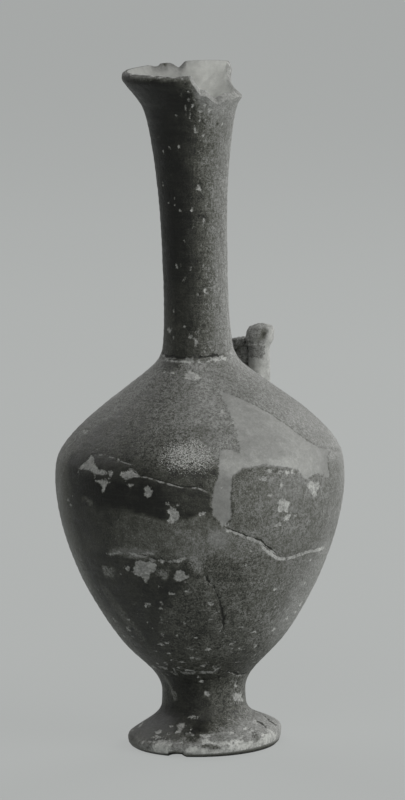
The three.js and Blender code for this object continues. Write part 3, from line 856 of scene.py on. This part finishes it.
def roll(side, top, swell, wear, slope):
    """Places of one roll of the handle, and its points across and up before it is set in place."""
    knob = ROLL_RADIUS + swell
    profile = np.array([
        (ROLL_RADIUS, ROOT_BOTTOM), (ROLL_RADIUS, top - KNOB_LENGTH), (knob, top - KNOB_LENGTH * 0.65),
        (knob, top - wear), (knob - wear * 0.3, top - wear * 0.3), (knob - wear, top), (0.2, top),
    ])
    s = np.concatenate([[0], np.cumsum(np.hypot(*np.diff(profile, axis=0).T))])
    at = np.linspace(0, s[-1], ROLL_ROWS)
    r, z = np.interp(at, s, profile[:, 0]), np.interp(at, s, profile[:, 1])
    round_way = np.linspace(0, 2 * math.pi, ROLL_COLUMNS, endpoint=False)
    u = (r[:, None] * np.cos(round_way)).ravel()
    v = (r[:, None] * np.sin(round_way)).ravel()
    w = np.repeat(z, ROLL_COLUMNS)
    local = np.column_stack([u, v, w])
    top_share = smooth(top - 9, top, w)
    bump = 0.18 * rough(local, 0.25, 3, 11 + side) + 0.35 * top_share * rough(local, 0.45, 3, 14 + side)
    if swell:
        # worn hollow in the knob, on the side toward the viewer, and a ledge under it
        right, front = seen(u, v)
        hollow_right, hollow_height = KNOB_HOLLOW
        facing = smooth(0, 2, front)
        hollow = np.exp(-(((right - hollow_right) / 1.1) ** 2 + ((w - hollow_height) / 2.0) ** 2))
        scrape = smooth(2.2, 1.2, right) * smooth(KNOB_LEDGE - 0.1, KNOB_LEDGE + 0.5, w)
        scrape *= smooth(top, top - 1.2, w)
        bump -= facing * (0.75 * hollow + 0.3 * scrape)
        for ledge, depth, soft, right_end in (
            (KNOB_LEDGE, 0.45, 0.45, (0.9, 0.0)), (STEM_LEDGE, 0.25, 0.5, (2.5, 1.0)),
        ):
            groove = np.exp(-(((w - ledge) / soft) ** 2))
            bump -= depth * facing * groove * smooth(*right_end, right)
    length = np.hypot(u, v) + 1e-9
    grow = np.where(length > 0.5, bump / length, 0)
    u, v = u * (1 + grow), v * (1 + grow)
    w = w + np.where(r.repeat(ROLL_COLUMNS) < knob - wear * 0.5, bump - 0.2, 0)
    w = w + math.tan(math.radians(slope)) * u * smooth(ROOT_BOTTOM, top, w)
    radial = ROOT_RADIUS + v + ROOT_SPLAY * np.maximum(0, w - ROOT_SPLAY_START) / 10
    tangent = u + side * ROLL_SPACING / 2
    a = math.radians(HANDLE_ANGLE)
    across_x = radial * math.cos(a) + tangent * math.sin(a)
    across_y = radial * math.sin(a) - tangent * math.cos(a)
    x, y, z = settle(across_x, across_y, w)
    return np.column_stack([x, y, z]) * MM, u, v, w


near_places, near_u, near_v, near_w = roll(1, NEAR_TOP, KNOB_SWELL, NEAR_WEAR, 0)
far_places, far_u, far_v, far_w = roll(-1, FAR_TOP, 0, FAR_WEAR, FAR_SLOPE)
near = mesh_from_grid("handle_roll_near", near_places, ROLL_ROWS, ROLL_COLUMNS, False)
far = mesh_from_grid("handle_roll_far", far_places, ROLL_ROWS, ROLL_COLUMNS, False)
seen_right, seen_front = seen(near_u, near_v)
near_ragged = 0.7 * rough(np.column_stack([near_u, near_v, near_w]), 0.5, 3, 41)
turned_left = smooth(3.0, 0.8, seen_right + near_ragged) * smooth(-3, 0, seen_front)
stem_face = turned_left * smooth(137.8, 140.2, near_w + near_ragged) * smooth(144.8, 143.8, near_w)
knob_face = turned_left * smooth(143.8, 144.8, near_w) * smooth(NEAR_TOP, NEAR_TOP - 1.4, near_w)
add_number(near, "wear", 0.95 - 0.1 * stem_face - 0.15 * knob_face, 0.6)
add_number(near, "raw", 0.85 * (1 - 0.9 * stem_face - 0.55 * knob_face), 0.6)
# Painted light: the near roll's side turned to the right, toward the key light, and the shaded side of its
# lower stem are given paler clay
turned_right = smooth(0.5, 2.5, seen_right)
add_number(near, "core", 1.0 - 0.5 * smooth(141, 135, near_w) * (1 - turned_right) - 0.3 * turned_right, 1.0)
# Painted shade in the worn hollow of the knob, on the side toward the viewer
spot_right, spot_up = seen_right - 1.2 + near_ragged, near_w - 147.2 + near_ragged
spot = np.exp(-((spot_right / 1.6) ** 2 + (spot_up / 2.1) ** 2)) * (seen_front > 0)
add_number(near, "spot", spot)
far_ragged = rough(np.column_stack([far_u, far_v, far_w]), 0.5, 3, 43)
add_number(far, "wear", np.clip(0.95 + 0.25 * smooth(142, 137, far_w) + 0.9 * far_ragged, 0.2, 1.3), 0.3)
none = np.zeros(ROLL_ROWS * ROLL_COLUMNS)
for name in ("raw", "core", "spot"):
    add_number(far, name, none)
for thing in (near, far):
    add_number(thing, "flake", none - FAR_OFF, -FAR_OFF)
    add_number(thing, "fill", none - FAR_OFF, -FAR_OFF)
    add_number(thing, "ridge_glint", none)
    add_number(thing, "crazed", none + 0.5)
    add_number(thing, "coarse", none + 1, 1.0)
    for name in cracks:
        add_number(thing, name, none + FAR_OFF, FAR_OFF)
        add_number(thing, name + "_on", none)


class Nodes:
    """Short names for building a material's nodes."""

    def __init__(self, tree):
        self.tree = tree

    def new(self, kind, **settings):
        node = self.tree.nodes.new(kind)
        for key, value in settings.items():
            setattr(node, key, value)
        return node

    def put(self, socket, value):
        if isinstance(value, bpy.types.NodeSocket):
            self.tree.links.new(value, socket)
        else:
            socket.default_value = value

    def math(self, operation, a, b=0.0, c=0.0, clamp=False):
        node = self.new("ShaderNodeMath", operation=operation, use_clamp=clamp)
        for socket, value in zip(node.inputs, (a, b, c)):
            self.put(socket, value)
        return node.outputs[0]

    def times(self, a, b, clamp=False):
        return self.math("MULTIPLY", a, b, clamp=clamp)

    def plus(self, a, b, clamp=False):
        return self.math("ADD", a, b, clamp=clamp)

    def swing(self, value, amount):
        """A noise about its middle, times an amount."""
        return self.times(self.math("SUBTRACT", value, 0.5), amount)

    def ramp(self, value, low, high, to_low=0.0, to_high=1.0):
        node = self.new("ShaderNodeMapRange", interpolation_type="SMOOTHSTEP")
        for socket, v in zip(node.inputs, (value, low, high, to_low, to_high)):
            self.put(socket, v)
        return node.outputs[0]

    def mix(self, factor, a, b):
        node = self.new("ShaderNodeMix", data_type="RGBA")
        self.put(node.inputs[0], factor)
        self.put(node.inputs[6], a)
        self.put(node.inputs[7], b)
        return node.outputs[2]

    def blend(self, factor, a, b):
        node = self.new("ShaderNodeMix", data_type="FLOAT")
        self.put(node.inputs[0], factor)
        self.put(node.inputs[2], a)
        self.put(node.inputs[3], b)
        return node.outputs[0]

    def number(self, name):
        return self.new("ShaderNodeAttribute", attribute_name=name).outputs["Fac"]

    def noise(self, where, *settings):
        """Noise of a scale, detail, roughness and, where given, distortion."""
        node = self.new("ShaderNodeTexNoise")
        self.put(node.inputs["Vector"], where)
        for name, value in zip(("Scale", "Detail", "Roughness", "Distortion"), settings):
            self.put(node.inputs[name], value)
        return node.outputs["Fac"]

    def stretch(self, where, scale):
        node = self.new("ShaderNodeMapping", vector_type="POINT")
        self.put(node.inputs["Vector"], where)
        node.inputs["Scale"].default_value = scale
        return node.outputs["Vector"]


def slipped_clay():
    """Dark worn slip over pale clay, with fills, flakes and cracks."""
    material = bpy.data.materials.new("fired_clay")
    material.use_nodes = True
    n = Nodes(material.node_tree)
    times, plus, ramp, swing, blend, number = n.times, n.plus, n.ramp, n.swing, n.blend, n.number
    shader = material.node_tree.nodes["Principled BSDF"]
    where = n.new("ShaderNodeTexCoord").outputs["Object"]
    place = n.stretch(where, (1000.0, 1000.0, 1000.0))

    cloud = n.noise(place, 0.05, 5, 0.62, 0.6)
    mottle = n.noise(place, 0.26, 6, 0.7, 0.3)
    grain = n.noise(place, 0.95, 5, 0.8)
    fine = n.noise(place, 2.3, 3, 0.75)
    turned = n.noise(n.stretch(place, (0.12, 0.12, 1.5)), 1.0, 5, 0.7)
    crazing = n.new("ShaderNodeTexVoronoi", feature="DISTANCE_TO_EDGE")
    n.put(crazing.inputs["Vector"], place)
    crazing.inputs["Scale"].default_value = 0.42
    lines = ramp(plus(crazing.outputs["Distance"], swing(grain, 0.5)), 0.12, 0.0)
    lines = times(lines, ramp(mottle, 0.42, 0.6))
    streaks = n.noise(n.stretch(place, (1.1, 1.1, 0.12)), 1.0, 4, 0.7)
    blots = n.noise(place, 0.62, 4, 0.65)

    wear, raw, core = number("wear"), number("raw"), number("core")
    flake, fill, ridge_glint = number("flake"), number("fill"), number("ridge_glint")
    spot, crazed = number("spot"), number("crazed")
    craze = times(crazed, lines)

    # slip: darkness from the wear of the area, clouded and grained
    drift = plus(swing(cloud, 0.55), swing(mottle, 0.75))
    amount = times(drift, ramp(wear, 0.0, 0.35, 0.28, 1.25))
    rubbed = plus(wear, amount, clamp=True)
    rubbed = plus(rubbed, swing(turned, 0.14), clamp=True)
    shade = n.math("MULTIPLY_ADD", rubbed, 0.243, 0.0075)
    grit = plus(times(grain, 0.6), times(fine, 0.4))
    strength = times(ramp(wear, 0.0, 0.22, 0.38, 0.8), ramp(wear, 0.3, 0.75, 1.0, 0.5))
    strength = times(strength, number("coarse"))
    shade = times(shade, n.math("MULTIPLY_ADD", ramp(grit, 0.41, 0.59, -1.0, 1.0), strength, 1.0))
    shade = times(shade, blend(ramp(crazed, 0.0, 0.5), 1.0, ramp(streaks, 0.35, 0.65, 0.8, 1.2)))
    prick = times(ramp(wear, 0.0, 0.3, 0.03, 0.6), ramp(wear, 0.4, 0.8, 1.0, 0.5))
    prick = times(ramp(fine, 0.60, 0.68), prick)
    shade = blend(prick, shade, 0.32)
    blotted = ramp(plus(blots, swing(cloud, 0.3)), 0.62, 0.68)
    blotted = times(blotted, ramp(wear, 0.0, 0.3, 0.05, 0.55))
    shade = blend(blotted, shade, 0.24)
    pitted = times(ramp(fine, 0.39, 0.32), ramp(wear, 0.3, 0.8, 0.55, 0.25))
    shade = blend(pitted, shade, 0.012)
    # painted highlight: bright specks on the worn ridge, where it catches the light
    sparse = plus(fine, times(n.math("SUBTRACT", ridge_glint, 1.0), 0.16))
    glint_specks = times(ramp(ridge_glint, 0.0, 0.35), ramp(sparse, 0.47, 0.55))
    shade = blend(times(glint_specks, 0.92), shade, 0.48)
    shade = blend(times(craze, 0.6), shade, 0.03)

    # pale clay on breaks, inside the mouth and in flakes, and smooth plaster
    clay = ramp(mottle, 0.3, 0.7, 0.31, 0.46)
    clay = times(clay, ramp(grit, 0.42, 0.58, 0.72, 1.2))
    clay = times(clay, ramp(wear, 0.5, 1.0, 0.96, 1.28))
    inner = times(ramp(mottle, 0.3, 0.7, 0.5, 0.62), ramp(cloud, 0.35, 0.65, 0.9, 1.06))
    inner = times(inner, ramp(wear, 0.0, 1.0, 0.45, 1.12))
    inner = blend(core, inner, times(clay, 0.52))
    plaster = times(ramp(cloud, 0.35, 0.65, 0.26, 0.33), ramp(mottle, 0.3, 0.7, 0.88, 1.08))
    plaster = times(plaster, ramp(grit, 0.4, 0.62, 0.92, 1.1))
    plaster = times(plaster, ramp(wear, 0.0, 1.0, 0.82, 1.1))

    ragged = swing(grain, 2.6)
    wander = swing(mottle, 2.6)
    raggedness = plus(ragged, wander)
    flaked = ramp(plus(flake, raggedness), -0.2, 0.35)
    filled = ramp(plus(fill, times(raggedness, 0.85)), -0.3, 0.6)
    bare = ramp(plus(raw, times(raggedness, 0.13)), 0.38, 0.56)

    shade = blend(times(filled, 0.92), shade, plaster)
    shade = blend(times(flaked, ramp(blots, 0.4, 0.6, 0.62, 0.97)), shade, clay)
    shade = blend(bare, shade, inner)
    groove = None
    for name, half_width, pale_edge, pale_share, _ in CRACKS:
        on = number(name + "_on")
        d = plus(number(name), swing(mottle, 1.4))
        d = plus(d, swing(grain, 0.5))
        wide = times(ramp(n.noise(place, 0.4, 3, 0.6), 0.38, 0.62, 0.12, 1.8), half_width)
        line = times(on, ramp(n.math("DIVIDE", n.math("ABSOLUTE", d), wide), 0.7, 1.5, 1.0, 0.0))
        below = plus(d, pale_edge * 0.5 + half_width * 0.6)
        pale = ramp(n.math("ABSOLUTE", below), pale_edge * 0.4, pale_edge * 0.75 + 0.05, 1.0, 0.0)
        whole = 0.07 if pale_share > 0.95 else 0.0
        patchy = ramp(n.noise(place, 0.35, 3, 0.6), 0.42 - whole, 0.56 - whole, 0.0, pale_share)
        pale = times(times(on, pale), patchy)
        shade = blend(times(pale, 0.85), shade, clay)
        shade = blend(times(line, 0.92), shade, 0.008)
        groove = line if groove is None else n.math("MAXIMUM", groove, line)
    # painted shadow and shade from the spot attribute: under the foot's standing edge, in its chip and in
    # the knob's hollow, with the dark pits and a dark spot of the far lip
    shade = blend(times(spot, ramp(grain, 0.3, 0.6, 0.5, 1.0), clamp=True), shade, 0.008)
    tint = n.mix(ramp(shade, 0.02, 0.2), (0.98, 1.0, 0.80, 1), (0.99, 1.0, 0.95, 1))
    colour = n.new("ShaderNodeMix", data_type="RGBA", blend_type="MULTIPLY")
    n.put(colour.inputs[0], 1.0)
    n.put(colour.inputs[6], tint)
    n.put(colour.inputs[7], shade)
    n.put(shader.inputs["Base Color"], colour.outputs[2])

    matt = n.math("MAXIMUM", n.math("MAXIMUM", flaked, bare), times(filled, 0.7))
    gloss = ramp(rubbed, 0.0, 0.7, 0.46, 0.62)
    gloss = plus(gloss, swing(grain, 0.4))
    gloss = plus(gloss, swing(mottle, 0.7))
    n.put(shader.inputs["Roughness"], blend(matt, gloss, 0.85))
    shader.inputs["Specular IOR Level"].default_value = 0.3
    shader.inputs["IOR"].default_value = 1.5

    relief = times(grain, 0.6)
    for part, depth in (
        (fine, 0.25), (mottle, 0.5), (turned, 0.15), (flaked, -0.35), (groove, -0.8), (craze, -0.4),
    ):
        relief = plus(relief, times(part, depth))
    relief = blend(n.math("MAXIMUM", filled, bare), relief, times(relief, 0.35))
    bump = n.new("ShaderNodeBump")
    bump.inputs["Strength"].default_value = 0.7
    bump.inputs["Distance"].default_value = 0.0007
    n.put(bump.inputs["Height"], relief)
    n.put(shader.inputs["Normal"], bump.outputs["Normal"])
    return material


clay = slipped_clay()
for thing in (body, near, far):
    thing.data.materials.append(clay)
    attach(thing, "root")
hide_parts("jug")

# Plain pale floor
bpy.ops.mesh.primitive_circle_add(vertices=128, radius=14, fill_type="NGON", location=(0, 0, 0))
floor = bpy.context.object
floor.name = "floor"
paper = bpy.data.materials.new("paper")
paper.use_nodes = True
n = Nodes(paper.node_tree)
sheet = paper.node_tree.nodes["Principled BSDF"]
paper_place = n.new("ShaderNodeTexCoord").outputs["Object"]
paper_tone = n.noise(paper_place, 3.0, 3, 0.5)
n.put(sheet.inputs["Base Color"], n.mix(paper_tone, (0.046, 0.048, 0.047, 1), (0.055, 0.058, 0.056, 1)))
sheet.inputs["Roughness"].default_value = 0.9
sheet.inputs["Specular IOR Level"].default_value = 0.2
sheet.inputs["Emission Color"].default_value = (0.97, 1.0, 0.985, 1)
sheet.inputs["Emission Strength"].default_value = 0.384
floor.data.materials.append(paper)


def soft_light(name, place, target, width, tall, watts):
    lamp = bpy.data.lights.new(name, "AREA")
    lamp.shape = "RECTANGLE"
    lamp.size, lamp.size_y = width, tall
    lamp.energy = watts
    thing = bpy.data.objects.new(name, lamp)
    thing.location = place
    thing.rotation_euler = (Vector(target) - Vector(place)).to_track_quat("-Z", "Y").to_euler()
    bpy.context.scene.collection.objects.link(thing)


# Place, aim, width and height in metres, and watts
soft_light("key", (1.38, -0.8, 0.8), (0, 0, 0.13), 1.2, 1.3, 24)
soft_light("front", (-0.25, -1.5, 1.45), (0, 0, 0.13), 1.0, 0.8, 9)
soft_light("behind_right", (1.0, 1.1, 0.6), (0, 0, 0.13), 0.9, 0.9, 12)
soft_light("above_behind", (-0.9, 1.2, 1.2), (0, 0, 0.12), 1.6, 0.9, 13)

world = bpy.data.worlds.new("studio")
bpy.context.scene.world = world
world.use_nodes = True
world.node_tree.nodes["Background"].inputs["Color"].default_value = (0.97, 1.0, 0.985, 1)
world.node_tree.nodes["Background"].inputs["Strength"].default_value = 0.08

# Camera
camera_data = bpy.data.cameras.new("camera")
camera = bpy.data.objects.new("camera", camera_data)
bpy.context.scene.collection.objects.link(camera)
eye, look = Vector((LOOK_X, -DISTANCE, EYE_HEIGHT)), Vector((LOOK_X, 0, LOOK_Z))
camera.location = eye
turn = (look - eye).to_track_quat("-Z", "Y").to_matrix() @ Matrix.Rotation(math.radians(-PRINT_LEAN), 3, "Z")
camera.rotation_euler = turn.to_euler()
camera_data.sensor_width = 36
camera_data.lens = (look - eye).length / (MM_PER_PIXEL * MM) * camera_data.sensor_width / PHOTO_TALL
camera_data.clip_start, camera_data.clip_end = 0.1, 40
bpy.context.scene.camera = camera
bpy.context.scene.view_settings.view_transform = "Standard"
